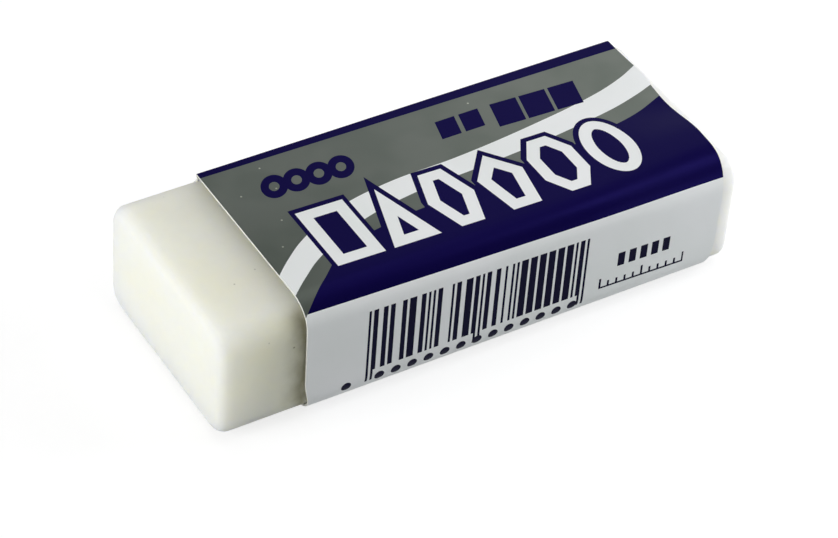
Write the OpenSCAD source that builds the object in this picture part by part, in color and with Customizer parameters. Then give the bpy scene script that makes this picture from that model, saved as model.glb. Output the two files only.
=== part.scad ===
// Rubber eraser: one white rubber block in a folded card sleeve that slides along it.
//
// +X runs along the block, away from its bare rubbing end. +Z is up. The origin is on
// the bench, under the middle of the whole eraser, which lies on the sleeve's bottom panel.

/* [Rubber block] */
// Length of the block, from the rubbing end to the covered end
block_len = 58.4; // [50:0.1:75]
// Width of the block
block_w = 23.4; // [18:0.1:30]
// Thickness of the block
block_h = 13; // [9:0.1:18]
// Radius of the four long edges
long_edge_r = 2.5; // [1.6:0.1:3.6]
// Radius of the edges round the two end faces
end_edge_r = 1; // [0.4:0.1:1.4]

/* [Card sleeve] */
// Thickness of the card
card_t = 0.2; // [0.15:0.05:0.4]
// Length of block left bare at the rubbing end
bare_len = 8.6; // [1:0.1:14]
// Length of block that shows past the sleeve at the covered end
covered_end_gap = 1.5; // [0.2:0.1:4]
// Slack between the card and each side of the block
side_slack = 0.25; // [0.1:0.05:0.6]
// Slack between the card and the top of the block
top_slack = 0.85; // [0.2:0.05:1.2]
// Inside radius of the front upper fold, which stands off the block
front_fold_r = 2.75; // [1:0.05:3.4]
// Angle below level of the card strip behind the scored crease at the back of the top
slant_angle = 55; // [45:1:65]
// Clearance between that slanted strip and the block's rounded edge
slant_slack = 0.1; // [0.05:0.05:0.4]
// How much tighter the two lower folds are than the block's own long edges
lower_fold_ease = 0.1; // [0:0.05:0.4]

/* [Glued lap on the back] */
// Gap between the foot of the slanted strip and the free edge of the inner flap
flap_gap = 1.8; // [0.2:0.1:3]
// Gap between the lower fold and the free edge of the outer lap
lap_gap = 0.6; // [0.2:0.1:3]

/* [Hidden] */
$fn = 64;
// inside radius of the lower folds, where the block lies against the card
lower_fold_r = long_edge_r - lower_fold_ease;
// the space inside the sleeve
inside_w = block_w + 2 * side_slack;
inside_h = block_h + top_slack;
// the lap makes the back one card thicker, which puts the block off the middle
mid_y = -card_t / 2;
// the sleeve starts where the bare part of the block ends and stops short of the other end
sleeve_x = -block_len / 2 + bare_len;
sleeve_len = block_len - bare_len - covered_end_gap;
// centre of the block's back upper edge in the sleeve's section, and the slanted strip's
// distance from it
edge_centre = [block_w / 2 - long_edge_r, block_h - long_edge_r];
slant_offset = long_edge_r + slant_slack;
// height of the strip's foot, where it meets the inner face of the outer lap
foot_out = inside_w / 2 + card_t - edge_centre[0];
foot_up = (slant_offset - foot_out * sin(slant_angle)) / cos(slant_angle);
slant_foot = edge_centre[1] + foot_up;
// free edges of the inner flap and the outer lap, above the inside of the bottom panel
flap_top = slant_foot - flap_gap;
lap_bottom = lower_fold_r + lap_gap;

// a flat rectangle with four round corners, centred on the origin
module round_rect(size, corner_r) {
    straight = [size[0] - 2 * corner_r, size[1] - 2 * corner_r];
    square([size[0], straight[1]], center = true);
    square([straight[0], size[1]], center = true);
    for (x = [-1, 1], y = [-1, 1])
        translate([x * straight[0] / 2, y * straight[1] / 2])
            circle(corner_r);
}

// one long edge of the block: a bar along X with a rounded rim at each end
module long_edge() {
    rotate([0, 90, 0])
        rotate_extrude()
            intersection() {
                round_rect([2 * long_edge_r, block_len], end_edge_r);
                translate([0, -block_len / 2])
                    square([long_edge_r, block_len]);
            }
}

// the solid rubber block: four round long edges joined by two crossed slabs
module eraser_block() {
    edge_y = block_w / 2 - long_edge_r;
    edge_z = block_h / 2 - long_edge_r;
    color([0.91, 0.91, 0.85])
        translate([0, mid_y, card_t + block_h / 2]) {
            for (y = [-edge_y, edge_y], z = [-edge_z, edge_z])
                translate([0, y, z])
                    long_edge();
            rotate([90, 0, 0])
                linear_extrude(2 * edge_y, center = true)
                    round_rect([block_len, block_h], end_edge_r);
            linear_extrude(2 * edge_z, center = true)
                round_rect([block_len, block_w], end_edge_r);
        }
}

// everything on the block's side of the slanted strip, grown outwards
module below_slant(grow) {
    reach = inside_w + inside_h;
    translate(edge_centre)
        rotate(90 - slant_angle)
            translate([-reach, -reach])
                square([reach + slant_offset + grow, 2 * reach]);
}

// the outline of the inside of the sleeve, grown outwards, and wider at the back by extra;
// its bottom edge is on the line y = -grow, and its three zones hold the lower folds, the
// front upper fold, and the crease with its slanted strip
module inside_outline(grow, extra) {
    size = [inside_w + extra + 2 * grow, inside_h + 2 * grow];
    middle = [extra / 2, inside_h / 2];
    module zone(low, high, fold_r) {
        intersection() {
            translate(middle)
                round_rect(size, fold_r + grow);
            translate(low)
                square(high - low);
        }
    }
    zone(middle - size / 2, middle + [size[0] / 2, 0], lower_fold_r);
    zone(middle - [size[0] / 2, 0], middle + [0, size[1] / 2], front_fold_r);
    intersection() {
        translate(middle)
            square(size / 2);
        below_slant(grow);
    }
}

// one closed turn of card in section
module card_turn(extra) {
    difference() {
        inside_outline(card_t, extra);
        inside_outline(0, extra);
    }
}

// the back of the section between two heights, from in front of the crease to past both
// layers of the glued lap
module back_zone(low, high) {
    front = edge_centre[0] - long_edge_r;
    past_lap = inside_w / 2 + 3 * card_t;
    translate([front, low])
        square([past_lap - front, high - low]);
}

// the strip of card in section: it starts as the inner flap, runs round the block and
// ends as the outer lap, which is glued over the flap
module strip_section() {
    above_card = inside_h + 2 * card_t;
    difference() {
        card_turn(0);
        back_zone(flap_top, above_card);
    }
    intersection() {
        card_turn(card_t);
        back_zone(lap_bottom, above_card);
    }
}

// the card sleeve, glued into a tube that is open at both ends
module card_sleeve() {
    color([0.12, 0.10, 0.30])
        translate([sleeve_x, mid_y, card_t])
            rotate([90, 0, 90])
                linear_extrude(sleeve_len)
                    strip_section();
}

eraser_block();
card_sleeve();
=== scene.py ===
import math

import bmesh
import bpy
from mathutils import Matrix, Vector, noise


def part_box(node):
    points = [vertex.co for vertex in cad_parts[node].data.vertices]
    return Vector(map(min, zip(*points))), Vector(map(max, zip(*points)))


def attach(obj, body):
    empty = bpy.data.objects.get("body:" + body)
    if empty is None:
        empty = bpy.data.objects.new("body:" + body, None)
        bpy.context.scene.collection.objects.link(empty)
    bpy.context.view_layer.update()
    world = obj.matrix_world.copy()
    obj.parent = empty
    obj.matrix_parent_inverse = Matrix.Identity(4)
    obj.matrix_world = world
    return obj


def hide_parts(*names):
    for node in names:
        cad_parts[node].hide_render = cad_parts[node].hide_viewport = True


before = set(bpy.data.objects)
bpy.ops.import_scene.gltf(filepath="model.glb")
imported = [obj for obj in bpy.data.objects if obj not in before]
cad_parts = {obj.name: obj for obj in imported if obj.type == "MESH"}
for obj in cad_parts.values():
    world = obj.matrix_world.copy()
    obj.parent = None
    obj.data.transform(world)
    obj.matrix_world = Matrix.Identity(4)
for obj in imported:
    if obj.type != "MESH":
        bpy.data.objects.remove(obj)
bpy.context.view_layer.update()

mm = 0.001
scene = bpy.context.scene
blockLow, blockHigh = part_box("eraser_block")
sleeveLow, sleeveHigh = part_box("card_sleeve")
cardThick = blockLow.z - sleeveLow.z        # the block lies on the sleeve's bottom panel


def smoothStep(x, start, end):
    t = min(1.0, max(0.0, (x - start) / (end - start)))
    return t * t * (3 - 2 * t)


def alongPoints(points, x):
    # the height at x of a line that eases from point to point
    for (x0, y0), (x1, y1) in zip(points, points[1:]):
        if x < x1:
            return y0 + (y1 - y0) * smoothStep(x, x0, x1)
    return points[-1][1]


def makeObject(name, bm, materials):
    mesh = bpy.data.meshes.new(name)
    bm.to_mesh(mesh)
    bm.free()
    for material in materials:
        mesh.materials.append(material)
    mesh.polygons.foreach_set("use_smooth", [True] * len(mesh.polygons))
    piece = bpy.data.objects.new(name, mesh)
    scene.collection.objects.link(piece)
    return piece


class Nodes:
    # the node tree of a material or of the world, with short ways to add what is used below

    def __init__(self, owner):
        self.owner = owner
        owner.use_nodes = True
        self.tree = owner.node_tree
        self.tree.nodes.clear()

    def add(self, kind, **settings):
        node = self.tree.nodes.new(kind)
        for key, value in settings.items():
            setattr(node, key, value)
        return node

    def feed(self, socket, value):
        if isinstance(value, bpy.types.NodeSocket):
            self.tree.links.new(value, socket)
        elif isinstance(value, (tuple, list)) and len(value) == 3 and socket.type == "RGBA":
            socket.default_value = (*value, 1.0)
        else:
            socket.default_value = value

    def principled(self):
        shader = self.add("ShaderNodeBsdfPrincipled")
        self.feed(self.add("ShaderNodeOutputMaterial").inputs["Surface"], shader.outputs["BSDF"])
        return shader.inputs

    def objectPlace(self):
        return self.add("ShaderNodeTexCoord").outputs["Object"]

    def split(self, vector):
        node = self.add("ShaderNodeSeparateXYZ")
        self.feed(node.inputs[0], vector)
        return node.outputs

    def math(self, operation, *values, clamp=False):
        node = self.add("ShaderNodeMath", operation=operation, use_clamp=clamp)
        for socket, value in zip(node.inputs, values):
            self.feed(socket, value)
        return node.outputs[0]

    def plus(self, first, second, clamp=False):
        return self.math("ADD", first, second, clamp=clamp)

    def minus(self, first, second):
        return self.math("SUBTRACT", first, second)

    def times(self, *values):
        result = values[0]
        for value in values[1:]:
            result = self.math("MULTIPLY", result, value)
        return result

    def timesPlus(self, value, factor, extra):
        return self.math("MULTIPLY_ADD", value, factor, extra)

    def share(self, value, start, pitch):
        # how many pitches the value is past start
        return self.math("DIVIDE", self.minus(value, start), pitch)

    def length(self, x, y):
        return self.math("SQRT", self.plus(self.times(x, x), self.times(y, y)))

    def above(self, value, limit):
        return self.math("GREATER_THAN", value, limit)

    def below(self, value, limit):
        return self.math("LESS_THAN", value, limit)

    def between(self, value, low, high):
        return self.times(self.above(value, low), self.below(value, high))

    def ramp(self, value, fromLow, fromHigh, toLow=0.0, toHigh=1.0, smooth=False):
        node = self.add("ShaderNodeMapRange", interpolation_type="SMOOTHSTEP" if smooth else "LINEAR")
        for socket, entry in zip(node.inputs, (value, fromLow, fromHigh, toLow, toHigh)):
            self.feed(socket, entry)
        return node.outputs[0]

    def mixColour(self, amount, base, other, blend="MIX"):
        node = self.add("ShaderNodeMix", data_type="RGBA", blend_type=blend)
        for index, value in zip((0, 6, 7), (amount, base, other)):
            self.feed(node.inputs[index], value)
        return node.outputs[2]

    def noise(self, vector, scale, detail=3.0, rough=0.5):
        node = self.add("ShaderNodeTexNoise")
        for key, value in zip(("Vector", "Scale", "Detail", "Roughness"), (vector, scale, detail, rough)):
            self.feed(node.inputs[key], value)
        return node.outputs[0]

    def spots(self, vector, look, dimensions="3D"):
        # round spots in a few cells of a random pattern
        scale, share, solid, faded = look
        cells = self.add("ShaderNodeTexVoronoi", voronoi_dimensions=dimensions)
        self.feed(cells.inputs["Vector"], vector)
        self.feed(cells.inputs["Scale"], scale)
        chance = self.split(cells.outputs["Color"])[0]
        spot = self.ramp(cells.outputs["Distance"], solid, faded, 1, 0)
        return self.times(self.above(chance, 1 - share), spot)

    def bump(self, height, strength, depth, normal=None):
        node = self.add("ShaderNodeBump")
        for key, value in zip(("Height", "Strength", "Distance"), (height, strength, depth * mm)):
            self.feed(node.inputs[key], value)
        if normal is not None:
            self.feed(node.inputs["Normal"], normal)
        return node.outputs[0]


# the rubber block
rubber = {
    "clearance": (0.01, 0.01, 0.02),    # mm that it keeps off the card and the table
    "longEdgeRadius": 2.5,              # mm, the four long edges
    "longEdgeCuts": 10,                 # faces round each of them
    "endEdgeRadius": (1.3, 0.75),       # mm, round the near and the far end face
    "endEdgeCuts": 6,
    "cell": 1.0,                        # mm between the cuts that let the faces soften
    "softness": 0.06,                   # mm that the faces wander inwards
    "softnessSize": 7.0,                # mm across one soft hollow
    "handlingDents": 0.03,              # mm of finer unevenness at the rubbing end
    "dentsFiner": 3.1,                  # times finer than the soft hollows
    "dentsFade": (6.0, 10.0),           # mm from the rubbing end
    "colour": (0.85, 0.85, 0.765),
    "warmColour": (0.85, 0.840, 0.73),
    "cloudScale": 130,                  # to a metre, as all the scales here
    "paintedFarLightColour": (0.885, 0.888, 0.865),    # whiter, cooler colour from past the card's mouth on; at rest it shows only at the far end, where it is painted light
    "paintedFarLightFrom": (3.0, 14.0),           # mm past the card's mouth, none and full
    "mottleColour": (0.72, 0.72, 0.62),
    "mottleScale": 900,
    "mottleShare": 0.05,
    "crumbColour": (0.10, 0.11, 0.06),  # graphite caught in the skin
    "crumbs": (745, 0.11, 0.05, 0.12),  # scale, share of the cells with one, its solid and faded size
    "crumbShare": 0.75,                 # how far its colour covers the rubber's
    "frontReach": (0.2, 2.6),           # mm from the front face over which the painted shade at the mouth and the pinched glow fade
    # painted shade: a soft darker tint on the front face beside the card's mouth
    "paintedFrontShadeColour": (0.92, 0.92, 0.85),
    "paintedFrontShadeFrom": (-7.0, -1.0),        # mm past the card's mouth, none and full
    "paintedFrontShadeTo": (0.5, 4.0),            # mm past the card's mouth, full and none
    "paintedMouthShadeColour": (0.50, 0.48, 0.41),  # painted shade: a thin uneven darker line on the front face at the card's mouth, which stays on the block when the sleeve slides
    "paintedMouthShadeFrom": (-2.6, 0.2),
    "paintedMouthShadeTo": (0.2, 1.6),
    "paintedMouthShadeFall": 1.7,                   # how fast it fades away from the mouth
    "paintedMouthShadeWander": 0.4,                 # mm
    "paintedMouthShadeScale": (420, 700),           # of its wandering and of its breakup
    "roughness": (0.74, 0.86),
    "gloss": 0.06,
    "glow": 1.0,                        # share of light that goes through the skin
    "glowSpread": (1.0, 0.95, 0.7),     # how deep red, green and blue go, as shares of the depth
    "glowDepth": 7.5,                   # mm
    "pinchedGlowDepth": 0.8,            # mm, beside the card's mouth
    "pinchReach": (1.0, 4.0),           # mm to either side of the mouth
    "grain": (1400, 0.25, 0.04),        # scale, strength and mm deep
    "ripple": (220, 0.35, 0.15),
}


def rubberMaterial():
    n = Nodes(bpy.data.materials.new("whiteRubber"))
    place = n.objectPlace()
    x, y = n.split(place)[:2]
    pastMouth = n.share(x, sleeveLow.x, mm)            # mm past the card's mouth
    cloud = n.noise(place, rubber["cloudScale"])
    colour = n.mixColour(n.ramp(cloud, 0.35, 0.65), rubber["colour"], rubber["warmColour"])
    # painted light: whiter and cooler from 3 mm past the card's mouth, so the far end of the block looks
    # whiter
    paintedFarLight = n.ramp(pastMouth, *rubber["paintedFarLightFrom"], smooth=True)
    colour = n.mixColour(paintedFarLight, colour, rubber["paintedFarLightColour"])
    mottle = n.ramp(n.noise(place, rubber["mottleScale"], 2), 0.42, 0.7, 0, rubber["mottleShare"])
    colour = n.mixColour(mottle, colour, rubber["mottleColour"])
    crumbs = n.times(n.spots(place, rubber["crumbs"]), rubber["crumbShare"])
    colour = n.mixColour(crumbs, colour, rubber["crumbColour"])

    # painted shade on the front face beside the card's mouth: a soft darker tint, and a thin uneven darker
    # line at the mouth that stays on the block when the sleeve slides
    onFront = n.ramp(n.share(y, blockLow.y, mm), *rubber["frontReach"], 1, 0, smooth=True)
    paintedFrontShade = n.times(n.ramp(pastMouth, *rubber["paintedFrontShadeFrom"], smooth=True),
                      n.ramp(pastMouth, *rubber["paintedFrontShadeTo"], 1, 0, smooth=True), onFront)
    colour = n.mixColour(paintedFrontShade, colour, rubber["paintedFrontShadeColour"], "MULTIPLY")
    # painted shade: a thin uneven darker line at the card's mouth, broken up by noise
    wanderScale, shadeBreakupScale = rubber["paintedMouthShadeScale"]
    wander = rubber["paintedMouthShadeWander"]
    wavy = n.plus(pastMouth, n.ramp(n.noise(place, wanderScale, 4), 0.3, 0.7, -wander, wander))
    shadeBreakup = n.ramp(n.noise(place, shadeBreakupScale), 0.3, 0.62, 0.72, 1)
    paintedMouthShade = n.times(n.math("POWER", n.ramp(wavy, *rubber["paintedMouthShadeFrom"]), rubber["paintedMouthShadeFall"]),
                    n.ramp(wavy, *rubber["paintedMouthShadeTo"], 1, 0, smooth=True), shadeBreakup, onFront)
    colour = n.mixColour(paintedMouthShade, colour, rubber["paintedMouthShadeColour"], "MULTIPLY")

    skin = n.principled()
    n.feed(skin["Base Color"], colour)
    n.feed(skin["Roughness"], n.ramp(cloud, 0.3, 0.7, *rubber["roughness"]))
    skin["Specular IOR Level"].default_value = rubber["gloss"]
    skin["Subsurface Weight"].default_value = rubber["glow"]
    skin["Subsurface Radius"].default_value = rubber["glowSpread"]
    skin["Subsurface Anisotropy"].default_value = 0.0
    # the glow is pinched beside the mouth, or it would wash out the card's shade there
    pinched = n.ramp(n.math("ABSOLUTE", pastMouth), *rubber["pinchReach"], 1, 0, smooth=True)
    depth = n.ramp(n.times(pinched, onFront), 0, 1, rubber["glowDepth"] * mm, rubber["pinchedGlowDepth"] * mm)
    n.feed(skin["Subsurface Scale"], depth)
    normal = None
    for scale, strength, deep in (rubber["grain"], rubber["ripple"]):
        normal = n.bump(n.noise(place, scale, 2), strength, deep, normal)
    n.feed(skin["Normal"], normal)
    return n.owner


def roundEdges(bm, edges, radius, cuts):
    bmesh.ops.bevel(bm, geom=edges, offset=radius * mm, offset_type="OFFSET", segments=cuts, profile=0.5,
                    affect="EDGES", material=-1, clamp_overlap=True)


def buildBlock():
    bm = bmesh.new()
    bmesh.ops.create_cube(bm, size=1)
    clear = Vector(rubber["clearance"]) * mm
    low, high = blockLow + clear, blockHigh - clear
    size = high - low
    bmesh.ops.scale(bm, vec=size, verts=bm.verts)
    bmesh.ops.translate(bm, vec=(low + high) / 2, verts=bm.verts)
    longEdges = [e for e in bm.edges if abs((e.verts[0].co - e.verts[1].co).x) > size.x / 2]
    roundEdges(bm, longEdges, rubber["longEdgeRadius"], rubber["longEdgeCuts"])
    for side, radius in zip((-1, 1), rubber["endEdgeRadius"]):
        endFace = max(bm.faces, key=lambda f: side * f.calc_center_median().x)
        roundEdges(bm, endFace.edges[:], radius, rubber["endEdgeCuts"])
    step = rubber["cell"] * mm
    for axis in range(3):
        cuts = int(size[axis] / step)
        normal = Vector([1.0 if k == axis else 0.0 for k in range(3)])
        for k in range(1, cuts + 1):
            where = low + normal * (size[axis] / 2 + (k - 0.5 * (cuts + 1)) * step)
            bmesh.ops.bisect_plane(bm, geom=bm.verts[:] + bm.edges[:] + bm.faces[:],
                                   dist=1e-7, plane_co=where, plane_no=normal)
    bmesh.ops.remove_doubles(bm, verts=bm.verts, dist=0.01 * mm)
    bm.normal_update()
    # the faces of a moulded block are never quite flat
    fadeStart, fadeEnd = (low.x + reach * mm for reach in rubber["dentsFade"])
    for v in bm.verts:
        p = v.co / (rubber["softnessSize"] * mm)
        hollow = 0.5 + 0.5 * noise.noise(p)
        dent = 0.5 + 0.5 * noise.noise(p * rubber["dentsFiner"])
        dent *= 1 - smoothStep(v.co.x, fadeStart, fadeEnd)
        v.co -= v.normal * mm * (rubber["softness"] * hollow + rubber["handlingDents"] * dent)
    return makeObject("rubberBlock", bm, [rubberMaterial()])


# the card sleeve: cut flat, printed, folded, then given its thickness
sleeve = {
    "frontFoldRadius": 2.95,            # mm, outer face, the front upper fold
    "lowerFoldRadius": 2.95,            # mm, outer face, the two lower folds
    "crease": (9.93, 10.05),            # mm across, where the top's back edge is scored, near and far end
    "creaseRadius": (0.22, 0.5),        # mm, at the near and the far end
    "slant": 54.5,                      # degrees below level, the strip behind the crease
    "footRadius": 1.4,                  # mm, where that strip turns down into the lap
    "lapEdgeHeight": 3.2,               # mm above the table, free edge of the glued lap
    "flapEdgeHeight": 9.0,              # mm above the table, free edge of the inner flap
    "looseEndFold": 1.0,                # mm added to the front upper fold at the far end
    "looseEndReach": 17.0,              # mm from the far end over which it eases in
    "sagDepth": 0.62,                   # mm that the top panel dips onto the block at the far end
    "sagMiddle": -8.3,                  # mm across the card
    "sagHalfWidth": 6.2,                # mm
    "sagReach": 10.0,                   # mm from the far end
    "wander": 0.04,                     # mm that the panels wander inwards
    "wanderSize": (9.0, 6.0),           # mm along and across
    "wanderFrom": (-1.0, 4.0),          # mm from the near end over which it comes in
    # how far the two cuts fall short, as mm across from the front upper fold and mm
    "nearTrim": [(-21.5, 0.95), (-19.3, 0.12), (0, 0.12), (4, 0.22), (11, 0.3), (16, 1.0)],
    "farTrim": [(-18, 0.2), (-12.5, 0.05), (-3, 0.05), (1, 0.2), (4.5, 0.62), (11, 0.7), (15, 1.1)],
    "rowSpacing": 0.8,                  # mm, across the flat panels
    "foldRows": 10,                     # rows round each fold
    "columnSpacing": 0.8,               # mm, along the block
    "sharpAngle": 40,                   # degrees, past which an edge of the card is shaded sharp
}
nearU, farU = sleeveLow.x / mm, sleeveHigh.x / mm      # mm along the card, the same as along the block


def cardRun(u):
    # the outer face from the lap's free edge round to the flap's: paper length, true length and turn
    back, front, top = sleeveHigh.y / mm, sleeveLow.y / mm, sleeveHigh.z / mm
    along = smoothStep(u, nearU, farU)
    crease, creaseRadius = (a + (b - a) * along for a, b in (sleeve["crease"], sleeve["creaseRadius"]))
    lower, tight = sleeve["lowerFoldRadius"], sleeve["frontFoldRadius"]
    loose = tight + sleeve["looseEndFold"] * smoothStep(u, farU - sleeve["looseEndReach"], farU)
    slant, quarter = math.radians(sleeve["slant"]), math.pi / 2
    creaseCut = creaseRadius * math.tan(slant / 2)
    footCut = sleeve["footRadius"] * math.tan((quarter - slant) / 2)
    footTurn, creaseTurn = sleeve["footRadius"] * (quarter - slant), creaseRadius * slant
    strip = (back - crease) / math.cos(slant) - creaseCut - footCut
    lap = top - (back - crease) * math.tan(slant) - footCut - sleeve["lapEdgeHeight"]
    wall = top - loose - lower
    flat = crease - creaseCut - front - loose
    # the loose fold takes its extra card from the top and the front wall
    paperTop = (crease - creaseCut - front - tight + quarter * tight + (top - tight - lower)
                - quarter * loose - wall)
    bottom = back - front - cardThick / mm - 2 * lower
    flap = sleeve["flapEdgeHeight"] - lower
    return [
        (lap, lap, 0), (footTurn, footTurn, quarter - slant), (strip, strip, 0),
        (creaseTurn, creaseTurn, slant), (paperTop, flat, 0),
        (quarter * loose, quarter * loose, quarter), (wall, wall, 0),
        (quarter * lower, quarter * lower, quarter), (bottom, bottom, 0),
        (quarter * lower, quarter * lower, quarter), (flap, flap, 0),
    ]


straightRun = cardRun(nearU)                               # before the far end opens
frontFoldStart = sum(part[0] for part in straightRun[:5])  # mm from the lap's free edge


def cardRows():
    # each row of the flat card, as a fold or panel of the run and a share of it
    rows = [(0, 0.0)]
    for index, (paper, length, turn) in enumerate(straightRun):
        count = sleeve["foldRows"] if turn else max(1, round(length / sleeve["rowSpacing"]))
        rows += [(index, (k + 1) / count) for k in range(count)]
    return rows


def paperAcross(run, index, share):
    # mm across the flat card, from the front upper fold
    return sum(part[0] for part in run[:index]) + share * run[index][0] - frontFoldStart


def cutEnds(index, share):
    # where a row starts and ends along the block, because the two cuts aren't quite square
    v = paperAcross(straightRun, index, share)
    return nearU + alongPoints(sleeve["nearTrim"], v), farU - alongPoints(sleeve["farTrim"], v)


def foldCard(u, index, share):
    # a row's place at u: mm across the flat card, and the folded outer face
    run = cardRun(u)
    v = paperAcross(run, index, share)
    here = Vector((sleeveHigh.y / mm, sleeve["lapEdgeHeight"]))
    heading = math.pi / 2
    for k, (paper, length, turn) in enumerate(run[:index + 1]):
        part = share if k == index else 1.0
        if turn:
            radius = length / turn
            centre = here + radius * Vector((-math.sin(heading), math.cos(heading)))
            heading += part * turn
            here = centre + radius * Vector((math.sin(heading), -math.cos(heading)))
        else:
            here = here + part * length * Vector((math.cos(heading), math.sin(heading)))
    outward = Vector((math.sin(heading), -math.cos(heading)))
    across = (v - sleeve["sagMiddle"]) / sleeve["sagHalfWidth"]
    sag = sleeve["sagDepth"] * smoothStep(u, farU - sleeve["sagReach"], farU)
    sag *= (0.5 + 0.5 * math.cos(math.pi * min(1.0, abs(across)))) * smoothStep(outward.y, 0.95, 1.0)
    sizeU, sizeV = sleeve["wanderSize"]
    wander = sleeve["wander"] * (0.5 + 0.5 * noise.noise(Vector((u / sizeU, v / sizeV, 3.3))))
    wander *= smoothStep(u, *(nearU + reach for reach in sleeve["wanderFrom"]))
    if here.y < 1 and outward.y < 0:
        wander = 0                         # the bottom lies flat on the table
    here -= outward * (sag + wander)
    return v, Vector((u * mm, here.x * mm, here.y * mm))


def buildSleeve():
    bm = bmesh.new()
    columns = round((farU - nearU) / sleeve["columnSpacing"])
    rows = cardRows()
    bmesh.ops.create_grid(bm, x_segments=columns, y_segments=len(rows) - 1, size=0.5)
    flatCard = bm.loops.layers.uv.new("flatCard")        # mm on the flat card, for the print
    across = {}
    for vert in bm.verts:
        index, share = rows[round((vert.co.y + 0.5) * (len(rows) - 1))]
        rowStart, rowEnd = cutEnds(index, share)
        across[vert], vert.co = foldCard(rowStart + (rowEnd - rowStart) * (vert.co.x + 0.5), index, share)
    for face in bm.faces:
        for loop in face.loops:
            loop[flatCard].uv = (loop.vert.co.x / mm, across[loop.vert])
    bm.normal_update()
    topFace = max(bm.faces, key=lambda f: f.calc_center_median().z)
    if topFace.normal.z < 0:
        bmesh.ops.reverse_faces(bm, faces=bm.faces)
    piece = makeObject("printedSleeve", bm, [printMaterial(), bareCardMaterial()])
    thickness = piece.modifiers.new("cardThickness", "SOLIDIFY")
    thickness.thickness = cardThick
    thickness.offset = -1
    thickness.use_even_offset = True
    thickness.material_offset = 1
    thickness.material_offset_rim = 1
    solid = bpy.data.meshes.new_from_object(piece.evaluated_get(bpy.context.evaluated_depsgraph_get()))
    piece.modifiers.clear()
    piece.data = solid
    solid.set_sharp_from_angle(angle=math.radians(sleeve["sharpAngle"]))
    return piece


# the print, in mm on the flat card: along the block from its middle, and across from the front upper fold
printing = {
    "white": (0.872, 0.884, 0.888),
    "silver": (0.155, 0.172, 0.155),
    "navy": (0.0048, 0.0023, 0.060),
    "dark": (0.0008, 0.0002, 0.020),
    "shine": {"white": 0.0, "silver": 0.35, "navy": 0.3, "dark": 0.0},
    "backStripe": (-18.14, 0.0144),     # the navy stripe runs from here over the back, and its slope
    "paleEdge": (3.1, 0.022),           # where the navy front edge ends, and its slope
    "bandUpper": [(-21, -2.1), (-18.5, -4.3), (-16, -6.1), (-11, -8.5), (-5, -9.7), (4, -10.1),
                  (13, -11.0), (20, -12.0), (25, -13.3), (28, -14.6)],
    "bandLower": [(-21, 1.0), (-18.3, -1.3), (-15.8, -3.1), (-10, -5.8), (-3.3, -7.2), (6, -7.8),
                  (14.6, -8.5), (20, -9.2), (25.5, -10.6), (28, -11.4)],
    "stripLower": [(-21, 3.6), (-19.2, 1.7), (-17, -0.2), (-13, -3.1), (-8, -4.4), (2.5, -5.3),
                   (12, -6.1), (21.8, -7.5), (28, -9.7)],
    "curveU": (-21.0, 28.0),            # what the three curves above span, along and across
    "curveV": (-16.0, 5.0),
}
smallMarks = {
    "lean": (-14.0, 0.25),              # they lean from this line, by this much
    "rings": {"start": -15.9, "pitch": 2.45, "count": 4, "hole": 0.55, "radius": 1.42,
              "middle": (-13.6, 0.04), "squeeze": 0.85},
    # start, end, pitch, share of the pitch inked, upper and lower edge, and their slope
    "blocks": [(4.0, 9.2, 2.75, 0.82, -15.7, -13.05, 0.0), (10.4, 20.3, 3.4, 0.9, -16.2, -12.7, 0.05)],
}
figures = {
    "sides": [4, 3, 6, 5, 8, 48],
    "start": -15.33,
    "pitch": 6.1,
    "middle": -5.0,
    "slope": 0.028,
    "levelAt": 3.0,                     # where the row is at its middle height
    "halfWidth": 2.57,
    "halfHeight": 4.22,
    "stroke": 1.3,
    "outline": 0.6,
}
stripes = {
    "start": -13.7,
    "module": 0.2626,
    "count": 95,
    "top": (4.95, 0.026),               # and its slope
    "foot": 12.4,
    "guardFoot": 13.8,                  # of the longer ones at both ends and in the middle
    "guardEnd": 2.5,                    # modules
    "guardMiddle": 1.5,
    "bareEvery": 4,                     # one module in so many stays white
    "bareChance": 0.22,                 # and of the others this share
    "seed": 7.0,
}
panelMarks = {
    "dots": {"start": -13.0, "pitch": 1.84, "middle": 13.5, "radius": 0.55,
             "spans": [(-13.0, 10.9), (-16.68, -14.84)]},
    "slope": 0.03,                      # of the squares and the scale
    "squares": {"start": 15.0, "end": 21.4, "pitch": 1.35, "share": 0.62, "upper": 8.2, "lower": 9.9},
    "scale": {"start": 13.0, "end": 23.2, "tickWidth": 0.25, "tickTop": 11.4, "foot": 12.0,
              "lineWidth": 0.22, "longEvery": 5.0, "longShare": 0.06, "longExtra": 0.5},
}
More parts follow.
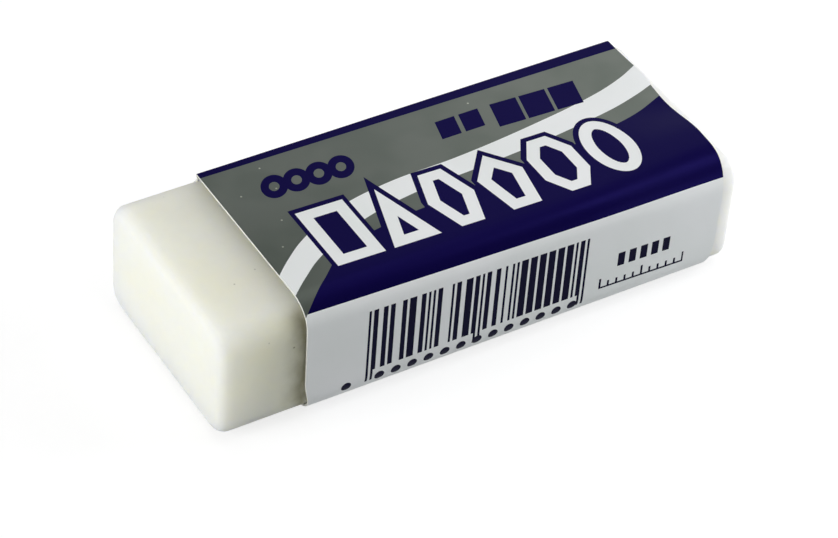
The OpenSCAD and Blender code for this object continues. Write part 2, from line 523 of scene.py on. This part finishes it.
finish = {
    "fleckColour": (0.50, 0.51, 0.44),  # bright flecks in the silver
    "flecks": (0.55, 0.05, 0.03, 0.07), # cells to a mm, share of them with one, its solid and faded size
    "patchColour": (0.88, 0.90, 0.89),  # the silver varies in soft patches, and painted reflection makes it lighter towards the far end and darker at the near end
    # painted reflection on the silver: lighter towards the far end, darker at the near end's front part
    "paintedBrightReflection": (1.28, 1.27, 1.27),
    "paintedBrightReflectionFrom": (-10, 27),
    "paintedDarkReflection": (0.74, 0.75, 0.74),
    "paintedDarkReflectionFrom": (-2, -19),
    "paintedDarkReflectionAcross": (-15, -4),
    "cloudColour": (0.93, 0.95, 0.93),  # all the inks wander this far
    "cutColour": (0.80, 0.82, 0.84),    # a hair of bare card along the cut ends
    "cutShare": 0.9,                    # how far its colour covers the ink's
    "cutWidth": 0.02,                   # mm
    "cutWander": 0.05,                  # mm
    "cutEase": 0.03,                    # mm
    "patchScale": 140,                  # to a metre, as the three below
    "cloudScale": 90,
    "paperScale": 2500,
    "rippleScale": 160,
    "roughness": (0.30, 0.38),
    "ior": 1.5,
    "gloss": 0.03,
    "paper": (0.12, 0.02),              # strength and mm deep
    "ripple": (0.12, 0.3),
}
bareCard = {
    "colour": (0.80, 0.80, 0.76),
    "fibreColour": (0.70, 0.69, 0.64),
    "cloudColour": (0.66, 0.66, 0.62),
    "cloudShare": 0.25,
    "fibreScale": 1500,                 # to a metre
    "cloudScale": 150,
    "roughness": (0.8, 0.9),
    "fibre": (0.5, 0.04),               # strength and mm deep
}


class PrintedCard(Nodes):
    # the sleeve's print: each lay puts one ink over what is there

    def __init__(self, owner):
        super().__init__(owner)
        self.flat = self.add("ShaderNodeUVMap", uv_map="flatCard").outputs[0]
        self.u, self.v = self.split(self.flat)[:2]
        self.colour = printing["white"]
        self.shine = printing["shine"]["white"]

    def lay(self, mask, ink):
        self.colour = self.mixColour(mask, self.colour, printing[ink])
        node = self.add("ShaderNodeMix", data_type="FLOAT")
        for index, value in zip((0, 2, 3), (mask, self.shine, printing["shine"][ink])):
            self.feed(node.inputs[index], value)
        self.shine = node.outputs[0]

    def line(self, start, slope):
        return self.timesPlus(self.u, slope, start)

    def curve(self, points):
        (lowU, highU), (lowV, highV) = printing["curveU"], printing["curveV"]
        node = self.add("ShaderNodeFloatCurve")
        line = node.mapping.curves[0]
        places = [((a - lowU) / (highU - lowU), (b - lowV) / (highV - lowV)) for a, b in points]
        line.points[0].location, line.points[1].location = places[0], places[-1]
        for place in places[1:-1]:
            line.points.new(*place)
        for point in line.points:
            point.handle_type = "AUTO_CLAMPED"
        node.mapping.update()
        self.feed(node.inputs["Value"], self.ramp(self.u, lowU, highU))
        return self.timesPlus(node.outputs[0], highV - lowV, lowV)


def inkFields(n):
    # the fields of colour, from the front edge to the back
    n.lay(n.below(n.v, n.line(*printing["paleEdge"])), "navy")
    n.lay(n.below(n.v, n.curve(printing["stripLower"])), "silver")
    n.lay(n.below(n.v, n.curve(printing["bandLower"])), "white")
    n.lay(n.below(n.v, n.curve(printing["bandUpper"])), "silver")
    n.lay(n.below(n.v, n.line(*printing["backStripe"])), "navy")


def inkSmallMarks(n):
    # a chain of four rings and a row of five slanted blocks on the silver
    leanLine, lean = smallMarks["lean"]
    leaning = n.timesPlus(n.minus(n.v, leanLine), lean, n.u)
    rings = smallMarks["rings"]
    ring = n.math("FLOOR", n.share(leaning, rings["start"], rings["pitch"]))
    ring = n.math("MINIMUM", n.math("MAXIMUM", ring, 0.0), rings["count"] - 1.0)
    x = n.minus(leaning, n.timesPlus(ring, rings["pitch"], rings["start"] + rings["pitch"] / 2))
    y = n.times(n.minus(n.v, n.line(*rings["middle"])), rings["squeeze"])
    n.lay(n.between(n.length(x, y), rings["hole"], rings["radius"]), "navy")
    for start, end, pitch, inked, upper, lower, slope in smallMarks["blocks"]:
        block = n.math("FRACT", n.share(leaning, start, pitch))
        height = n.timesPlus(leaning, -slope, n.v)
        n.lay(n.times(n.between(block, 0.0, inked), n.between(leaning, start, end),
                      n.between(height, upper, lower)), "navy")


def fitFigure(sides):
    # a regular figure standing on one side, made to fill its cell: inner radius, squeeze and shift
    sector = 2 * math.pi / sides
    corners = [(k + 0.5) * sector for k in range(sides)]
    wide = max(math.sin(c) for c in corners) / math.cos(sector / 2)
    foot = max(math.cos(c) for c in corners) / math.cos(sector / 2)
    head = min(math.cos(c) for c in corners) / math.cos(sector / 2)
    radius = figures["halfWidth"] / wide
    squeeze = radius * (foot - head) / (2 * figures["halfHeight"])
    shift = figures["halfHeight"] - radius * foot / squeeze
    return radius, squeeze, shift


def inkFigures(n):
    # a row of plain outlined figures with four, three, six, five, eight and very many sides
    start, pitch, count = figures["start"], figures["pitch"], len(figures["sides"])
    cell = n.math("FLOOR", n.share(n.u, start, pitch))
    x = n.minus(n.u, n.timesPlus(cell, pitch, start + pitch / 2))
    y = n.minus(n.timesPlus(n.minus(n.u, figures["levelAt"]), -figures["slope"], n.v), figures["middle"])

    # one stop of a colour ramp holds each figure's facts, brought between 0 and 1
    span, mostSides = 4.0, 64.0
    lookup = n.add("ShaderNodeValToRGB")
    stops = lookup.color_ramp
    stops.interpolation = "CONSTANT"
    for index, sides in enumerate(figures["sides"]):
        stop = stops.elements[0] if index == 0 else stops.elements.new(index / count)
        radius, squeeze, shift = fitFigure(sides)
        stop.color = (radius / span, squeeze, shift / span + 0.5, sides / mostSides)
    stops.elements.remove(stops.elements[-1])
    n.feed(lookup.inputs[0], n.share(cell, -0.5, count))
    facts = n.split(lookup.outputs["Color"])
    inner, squeeze = n.times(facts[0], span), facts[1]
    shift = n.timesPlus(facts[2], span, -span / 2)
    sides = n.math("ROUND", n.times(lookup.outputs["Alpha"], mostSides))
    y = n.times(n.minus(y, shift), squeeze)
    sector = n.math("DIVIDE", 2 * math.pi, sides)
    angle = n.math("ARCTAN2", x, y)                    # from the foot of each figure
    nearest = n.math("FLOOR", n.share(angle, n.times(sector, -0.5), sector))

    def pastSide(neighbour):
        # mm outside the line of the nearest side, or of the one before or after it
        turn = n.times(n.plus(nearest, neighbour), sector)
        sine, cosine = n.math("SINE", turn), n.math("COSINE", turn)
        flat = n.minus(n.timesPlus(x, sine, n.times(y, cosine)), inner)
        return n.math("DIVIDE", flat, n.length(sine, n.times(cosine, squeeze)))

    edge = n.math("MAXIMUM", pastSide(-1.0), n.math("MAXIMUM", pastSide(0.0), pastSide(1.0)))
    inCells = n.between(cell, -0.5, count - 0.5)
    n.lay(n.times(inCells, n.below(edge, figures["outline"])), "navy")
    n.lay(n.times(inCells, n.between(edge, -figures["stroke"], 0.0)), "white")


def inkStripes(n):
    # plain upright stripes of random width, with longer ones at both ends and in the middle
    index = n.math("FLOOR", n.share(n.u, stripes["start"], stripes["module"]))
    chance = n.add("ShaderNodeTexWhiteNoise", noise_dimensions="1D")
    n.feed(chance.inputs["W"], n.plus(index, stripes["seed"]))
    middle = (stripes["count"] - 1) / 2
    fromMiddle = n.math("ABSOLUTE", n.minus(index, middle))
    fromEnd = n.minus(middle, fromMiddle)
    guard = n.math("MAXIMUM", n.below(fromEnd, stripes["guardEnd"]),
                   n.below(fromMiddle, stripes["guardMiddle"]))
    even = n.below(n.math("MODULO", n.plus(fromMiddle, 1.0), 2.0), 0.5)
    spaced = n.above(n.math("MODULO", index, stripes["bareEvery"]), 0.5)
    inked = n.times(n.above(chance.outputs["Value"], stripes["bareChance"]), spaced)
    inked = n.plus(n.times(guard, even), n.times(n.minus(1.0, guard), inked), clamp=True)
    foot = n.timesPlus(guard, stripes["guardFoot"] - stripes["foot"], stripes["foot"])
    inCount = n.between(index, -0.5, stripes["count"] - 0.5)
    n.lay(n.times(inked, inCount, n.above(n.v, n.line(*stripes["top"])), n.below(n.v, foot)), "dark")


def inkPanelMarks(n):
    # a row of dots under the stripes, and five small squares and a millimetre scale beside them
    dots, squares, scale = panelMarks["dots"], panelMarks["squares"], panelMarks["scale"]
    fromDot = n.minus(n.math("FRACT", n.share(n.u, dots["start"], dots["pitch"])), 0.5)
    radius = n.length(n.times(fromDot, dots["pitch"]), n.minus(n.v, dots["middle"]))
    inSpans = n.math("MAXIMUM", *(n.between(n.u, *span) for span in dots["spans"]))
    n.lay(n.times(n.below(radius, dots["radius"]), inSpans), "dark")

    height = n.timesPlus(n.u, -panelMarks["slope"], n.v)
    square = n.math("FRACT", n.share(n.u, squares["start"], squares["pitch"]))
    n.lay(n.times(n.between(square, 0.0, squares["share"]), n.between(n.u, squares["start"], squares["end"]),
                  n.between(height, squares["upper"], squares["lower"])), "dark")

    tick = n.math("FRACT", n.minus(n.u, scale["start"]))
    fifth = n.math("FRACT", n.share(n.u, scale["start"], scale["longEvery"]))
    tickTop = n.timesPlus(n.below(fifth, scale["longShare"]), -scale["longExtra"], scale["tickTop"])
    ticks = n.times(n.below(tick, scale["tickWidth"]), n.above(height, tickTop),
                    n.below(height, scale["foot"]))
    footLine = n.between(height, scale["foot"], scale["foot"] + scale["lineWidth"])
    n.lay(n.times(n.math("MAXIMUM", ticks, footLine), n.between(n.u, scale["start"], scale["end"])), "dark")


def printMaterial():
    n = PrintedCard(bpy.data.materials.new("printedCard"))
    for ink in (inkFields, inkSmallMarks, inkFigures, inkStripes, inkPanelMarks):
        ink(n)

    # silver and varnish wander a little, painted reflection lightens the silver towards the far end and
    # darkens it at the near end's front part, and the cut ends show a hair of bare card
    place = n.objectPlace()
    onSilver = n.above(n.shine, printing["shine"]["silver"] - 0.01)
    flecks = n.times(n.spots(n.flat, finish["flecks"], "2D"), onSilver)
    colour = n.mixColour(flecks, n.colour, finish["fleckColour"])
    patches = n.ramp(n.noise(place, finish["patchScale"], 2), 0.38, 0.62, smooth=True)
    # painted reflection: the silver lighter towards the far end and darker at the near end's front part
    brightReflection = n.ramp(n.u, *finish["paintedBrightReflectionFrom"])
    darkReflection = n.times(n.ramp(n.u, *finish["paintedDarkReflectionFrom"]), n.ramp(n.v, *finish["paintedDarkReflectionAcross"]))
    for amount, tone in ((patches, "patchColour"), (brightReflection, "paintedBrightReflection"), (darkReflection, "paintedDarkReflection")):
        colour = n.mixColour(n.times(amount, onSilver), colour, finish[tone], "MULTIPLY")
    cloud = n.noise(place, finish["cloudScale"], 2)
    colour = n.mixColour(n.ramp(cloud, 0.3, 0.75), colour, finish["cloudColour"], "MULTIPLY")
    fine = n.noise(place, finish["paperScale"], 2)
    fromCut = n.math("MINIMUM", n.minus(n.u, nearU), n.minus(farU, n.u))
    bared = n.timesPlus(n.ramp(fine, 0.35, 0.65), finish["cutWander"], finish["cutWidth"])
    ease = finish["cutEase"]
    cut = n.ramp(n.minus(fromCut, bared), -ease, ease, finish["cutShare"], 0.0)
    colour = n.mixColour(cut, colour, finish["cutColour"])

    varnish = n.principled()
    n.feed(varnish["Base Color"], colour)
    n.feed(varnish["Metallic"], n.shine)
    n.feed(varnish["Roughness"], n.ramp(cloud, 0.3, 0.7, *finish["roughness"]))
    varnish["IOR"].default_value = finish["ior"]
    varnish["Specular IOR Level"].default_value = finish["gloss"]
    paper = n.bump(fine, *finish["paper"])
    ripple = n.noise(place, finish["rippleScale"], 2)
    n.feed(varnish["Normal"], n.bump(ripple, *finish["ripple"], paper))
    return n.owner


def bareCardMaterial():
    n = Nodes(bpy.data.materials.new("bareCard"))
    place = n.objectPlace()
    fibre = n.noise(place, bareCard["fibreScale"], 4, 0.6)
    cloud = n.noise(place, bareCard["cloudScale"])
    colour = n.mixColour(n.ramp(fibre, 0.35, 0.7), bareCard["colour"], bareCard["fibreColour"])
    colour = n.mixColour(n.ramp(cloud, 0.4, 0.7, 0, bareCard["cloudShare"]), colour, bareCard["cloudColour"])
    card = n.principled()
    n.feed(card["Base Color"], colour)
    n.feed(card["Roughness"], n.ramp(cloud, 0.3, 0.7, *bareCard["roughness"]))
    n.feed(card["Normal"], n.bump(fibre, *bareCard["fibre"]))
    return n.owner


# the table, and the studio round it
tableLook = {
    "bounce": (0.55, 0.56, 0.57),       # what it throws back onto the eraser
    "bounceCloud": (0.52, 0.52, 0.51),
    "cloudScale": 6,                    # to a metre
    "cloudShare": 0.05,
    "shade": 0.36,                      # how much of the light and shadow on it is seen
    "lift": (0.74, 0.97),               # how white it is by itself, at the eraser and past the lamps' light
    "liftReach": (0.2, 0.7),            # m
    "horizon": 0.33,                    # share of that white left at the horizon, to meet the studio's grey
    "horizonReach": (0.6, 2.5),         # m
    "halfSize": 40.0,                   # m
    "drop": 0.02,                       # mm below the eraser
}
studio = {
    "rise": (0.05, 0.17),               # how high a direction points, as the sine of the angle
    "light": (0.34, 0.08),              # the studio's light below and above that
}


def tableMaterial():
    n = Nodes(bpy.data.materials.new("paleTable"))
    place = n.objectPlace()
    cloud = n.ramp(n.noise(place, tableLook["cloudScale"], 2), 0.4, 0.6, 0, tableLook["cloudShare"])
    bounce = n.add("ShaderNodeBsdfDiffuse")
    n.feed(bounce.inputs[0], n.mixColour(cloud, tableLook["bounce"], tableLook["bounceCloud"]))
    seen = n.add("ShaderNodeBsdfDiffuse")
    n.feed(seen.inputs[0], (tableLook["shade"],) * 3)
    away = n.add("ShaderNodeVectorMath", operation="LENGTH")
    n.feed(away.inputs[0], place)
    away = away.outputs["Value"]
    lift = n.ramp(away, *tableLook["liftReach"], *tableLook["lift"], smooth=True)
    dim = n.ramp(away, *tableLook["horizonReach"], 1.0, tableLook["horizon"], smooth=True)
    glow = n.add("ShaderNodeEmission")
    n.feed(glow.inputs[1], n.times(lift, dim))
    shown = n.add("ShaderNodeAddShader")
    n.feed(shown.inputs[0], seen.outputs[0])
    n.feed(shown.inputs[1], glow.outputs[0])
    path = n.add("ShaderNodeLightPath").outputs
    direct = n.plus(path["Is Camera Ray"], path["Is Glossy Ray"], clamp=True)
    direct = n.plus(direct, path["Is Transmission Ray"], clamp=True)
    mix = n.add("ShaderNodeMixShader")
    for socket, value in zip(mix.inputs, (direct, bounce.outputs[0], shown.outputs[0])):
        n.feed(socket, value)
    n.feed(n.add("ShaderNodeOutputMaterial").inputs["Surface"], mix.outputs[0])
    return n.owner


def buildTable():
    bm = bmesh.new()
    bmesh.ops.create_grid(bm, x_segments=1, y_segments=1, size=tableLook["halfSize"])
    bmesh.ops.translate(bm, vec=(0, 0, -tableLook["drop"] * mm), verts=bm.verts)
    table = makeObject("paleTable", bm, [tableMaterial()])


def buildStudio():
    scene.world = bpy.data.worlds.new("studio")
    n = Nodes(scene.world)
    height = n.split(n.add("ShaderNodeTexCoord").outputs["Generated"])[2]
    background = n.add("ShaderNodeBackground")
    n.feed(background.inputs[0], (1, 1, 1))
    n.feed(background.inputs[1], n.ramp(height, *studio["rise"], *studio["light"], smooth=True))
    n.feed(n.add("ShaderNodeOutputWorld").inputs[0], background.outputs[0])


lamps = {
    # direction from the eraser, m away, m across, how bright it lights a white face turned to it, colour
    "leftWindow": ((-0.972, -0.01, 0.20), 0.75, 0.60, 1.18, (0.975, 0.985, 0.99)),
    "rightWindow": ((0.90, -0.18, 0.38), 0.34, 0.24, 0.53, (0.98, 0.99, 1.0)),
    "rightCard": ((0.74, -0.66, 0.14), 0.12, 0.05, 0.14, (0.95, 0.975, 1.0)),
    "foldStrip": ((0.60, -0.275, 0.753), 0.142, 0.04, 0.09, (1.0, 0.99, 1.0)),
    "backCard": ((0.62, 0.66, 0.52), 0.35, 0.20, 0.08, (1.0, 1.0, 1.0)),
    "overhead": ((0.05, 0.20, 0.97), 0.80, 0.70, 0.335, (1.0, 1.0, 1.0)),
}
lampsAim = 7 * mm      # above the table, about the eraser's middle


def buildLamps():
    for name, (direction, distance, size, level, colour) in lamps.items():
        lamp = bpy.data.lights.new(name, "AREA")
        lamp.shape = "SQUARE"
        lamp.size = size
        lamp.energy = level * math.pi ** 2 * distance ** 2
        lamp.color = colour
        holder = bpy.data.objects.new(name, lamp)
        toLamp = Vector(direction).normalized()
        holder.location = toLamp * distance + Vector((0, 0, lampsAim))
        holder.rotation_mode = "QUATERNION"
        holder.rotation_quaternion = (-toLamp).to_track_quat("-Z", "Y")
        scene.collection.objects.link(holder)


view = {
    "azimuth": -33.92,                  # degrees
    "elevation": 41.29,
    "roll": 4.71,
    "distance": 315.1,                  # mm
    "aim": (-1.43, -1.67, 3.48),        # mm
    "lens": 136.16,                     # mm, on a sensor 36 mm wide
    "sensor": 36,
    "clip": (0.01, 20),                 # m
}


def buildCamera():
    azimuth, elevation, roll = (math.radians(view[k]) for k in ("azimuth", "elevation", "roll"))
    back = Vector((math.sin(azimuth) * math.cos(elevation), -math.cos(azimuth) * math.cos(elevation),
                   math.sin(elevation)))
    level = (-back).cross(Vector((0, 0, 1))).normalized()
    rise = level.cross(-back)
    right = level * math.cos(roll) + rise * math.sin(roll)
    up = -level * math.sin(roll) + rise * math.cos(roll)
    camera = bpy.data.objects.new("camera", bpy.data.cameras.new("camera"))
    camera.data.lens = view["lens"]
    camera.data.sensor_width = view["sensor"]
    camera.data.clip_start, camera.data.clip_end = view["clip"]
    camera.location = Vector(view["aim"]) * mm + back * view["distance"] * mm
    camera.rotation_mode = "QUATERNION"
    camera.rotation_quaternion = Matrix((right, up, back)).transposed().to_quaternion()
    scene.collection.objects.link(camera)
    scene.camera = camera


buildCamera()
print("camera placed")
block = buildBlock()
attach(block, "block")
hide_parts("eraser_block")
print("rubber block:", len(block.data.polygons), "faces")
card = buildSleeve()
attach(card, "sleeve")
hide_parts("card_sleeve")
print("printed sleeve:", len(card.data.polygons), "faces")
buildTable()
buildStudio()
buildLamps()
scene.view_settings.view_transform = "Standard"
print("table, studio and lamps placed")
